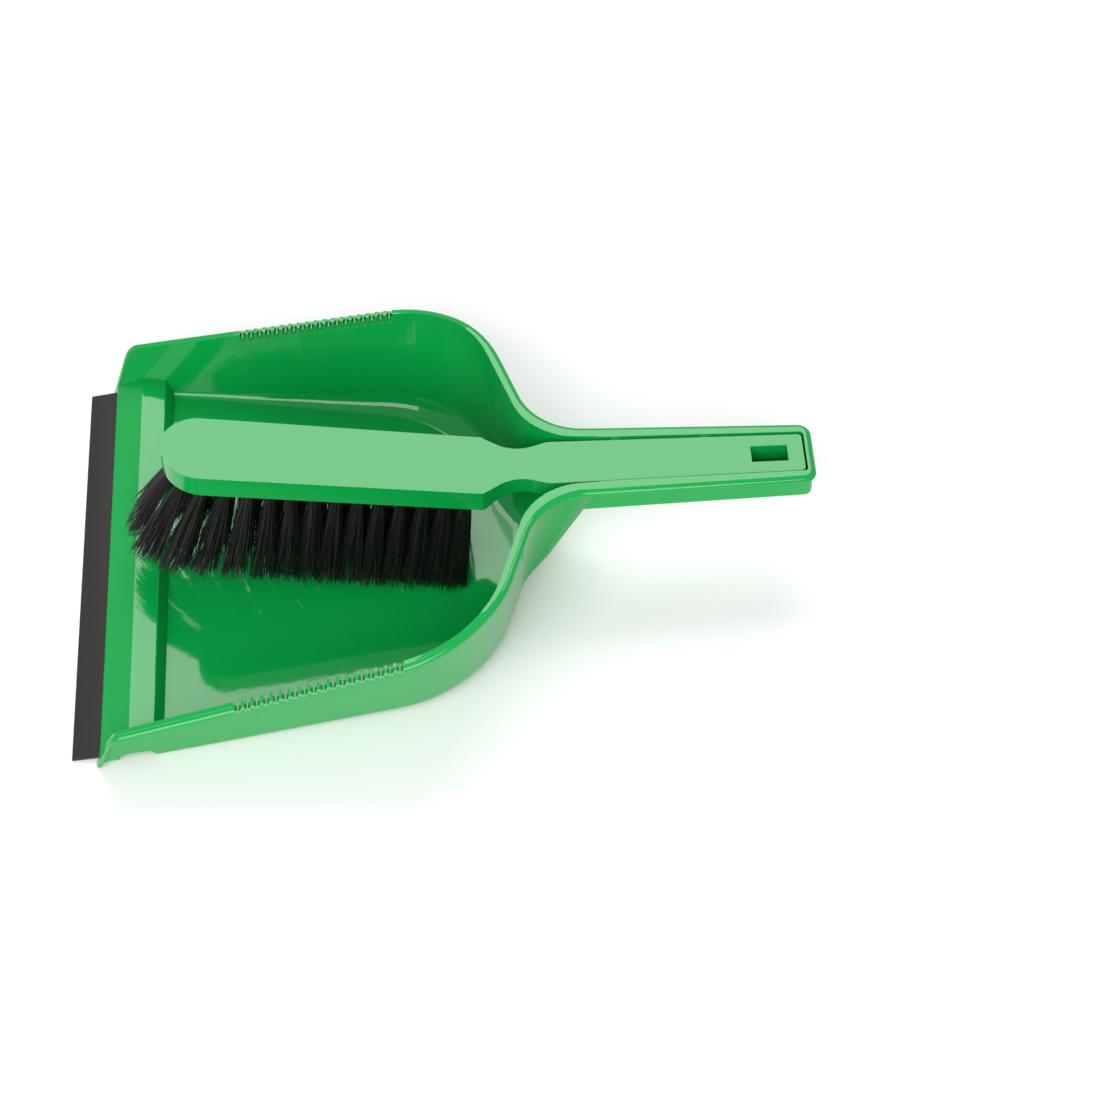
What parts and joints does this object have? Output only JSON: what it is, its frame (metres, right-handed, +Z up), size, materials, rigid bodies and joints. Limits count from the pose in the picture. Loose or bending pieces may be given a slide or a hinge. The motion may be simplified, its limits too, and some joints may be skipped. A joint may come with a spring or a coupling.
{
  "type": "dustpan and brush set",
  "caption": "Dustpan with leaning walls, comb teeth on its rims and a rubber lip, and a block hand brush that lies in the pan's channel handle.",
  "frame": {"origin": "middle of the footprint at the floor", "axes": "+X towards the handle's end with the mouth at -X, +Z up, Y across the pan"},
  "size_m": [0.33, 0.2292, 0.083],
  "materials": {
    "pan_plastic": "satin",
    "brush_plastic": "satin",
    "lip_rubber": "matte",
    "bristle": "satin"
  },
  "bodies": {
    "pan": {"dustpan": "pan_plastic"},
    "lip": {"rubber_lip": "lip_rubber"},
    "brush": {"brush_body": "brush_plastic", "tuft_inner_left_01": "bristle", "tuft_inner_left_02": "bristle", "tuft_inner_left_03": "bristle", "tuft_inner_left_04": "bristle", "tuft_inner_left_05": "bristle", "tuft_inner_left_06": "bristle", "tuft_inner_left_07": "bristle", "tuft_inner_left_08": "bristle", "tuft_inner_left_09": "bristle", "tuft_inner_left_10": "bristle", "tuft_inner_left_11": "bristle", "tuft_inner_left_12": "bristle", "tuft_inner_right_01": "bristle", "tuft_inner_right_02": "bristle", "tuft_inner_right_03": "bristle", "tuft_inner_right_04": "bristle", "tuft_inner_right_05": "bristle", "tuft_inner_right_06": "bristle", "tuft_inner_right_07": "bristle", "tuft_inner_right_08": "bristle", "tuft_inner_right_09": "bristle", "tuft_inner_right_10": "bristle", "tuft_inner_right_11": "bristle", "tuft_inner_right_12": "bristle", "tuft_nose": "bristle", "tuft_outer_left_01": "bristle", "tuft_outer_left_02": "bristle", "tuft_outer_left_03": "bristle", "tuft_outer_left_04": "bristle", "tuft_outer_left_05": "bristle", "tuft_outer_left_06": "bristle", "tuft_outer_left_07": "bristle", "tuft_outer_left_08": "bristle", "tuft_outer_left_09": "bristle", "tuft_outer_left_10": "bristle", "tuft_outer_left_11": "bristle", "tuft_outer_left_12": "bristle", "tuft_outer_left_13": "bristle", "tuft_outer_left_14": "bristle", "tuft_outer_right_01": "bristle", "tuft_outer_right_02": "bristle", "tuft_outer_right_03": "bristle", "tuft_outer_right_04": "bristle", "tuft_outer_right_05": "bristle", "tuft_outer_right_06": "bristle", "tuft_outer_right_07": "bristle", "tuft_outer_right_08": "bristle", "tuft_outer_right_09": "bristle", "tuft_outer_right_10": "bristle", "tuft_outer_right_11": "bristle", "tuft_outer_right_12": "bristle", "tuft_outer_right_13": "bristle", "tuft_outer_right_14": "bristle"}
  },
  "joints": [
    {"name": "brush_lift", "type": "slide", "parent": "pan", "child": "brush", "axis": [0, 0, 1], "range_m": [0, 0.1]},
    {"name": "lip_flex", "type": "hinge", "parent": "pan", "child": "lip", "pos_m": [-0.1485, 0, 0.003], "axis": [0, 1, 0], "range_deg": [0, 8], "stiffness_Nm_per_rad": 0.5}
  ]
}
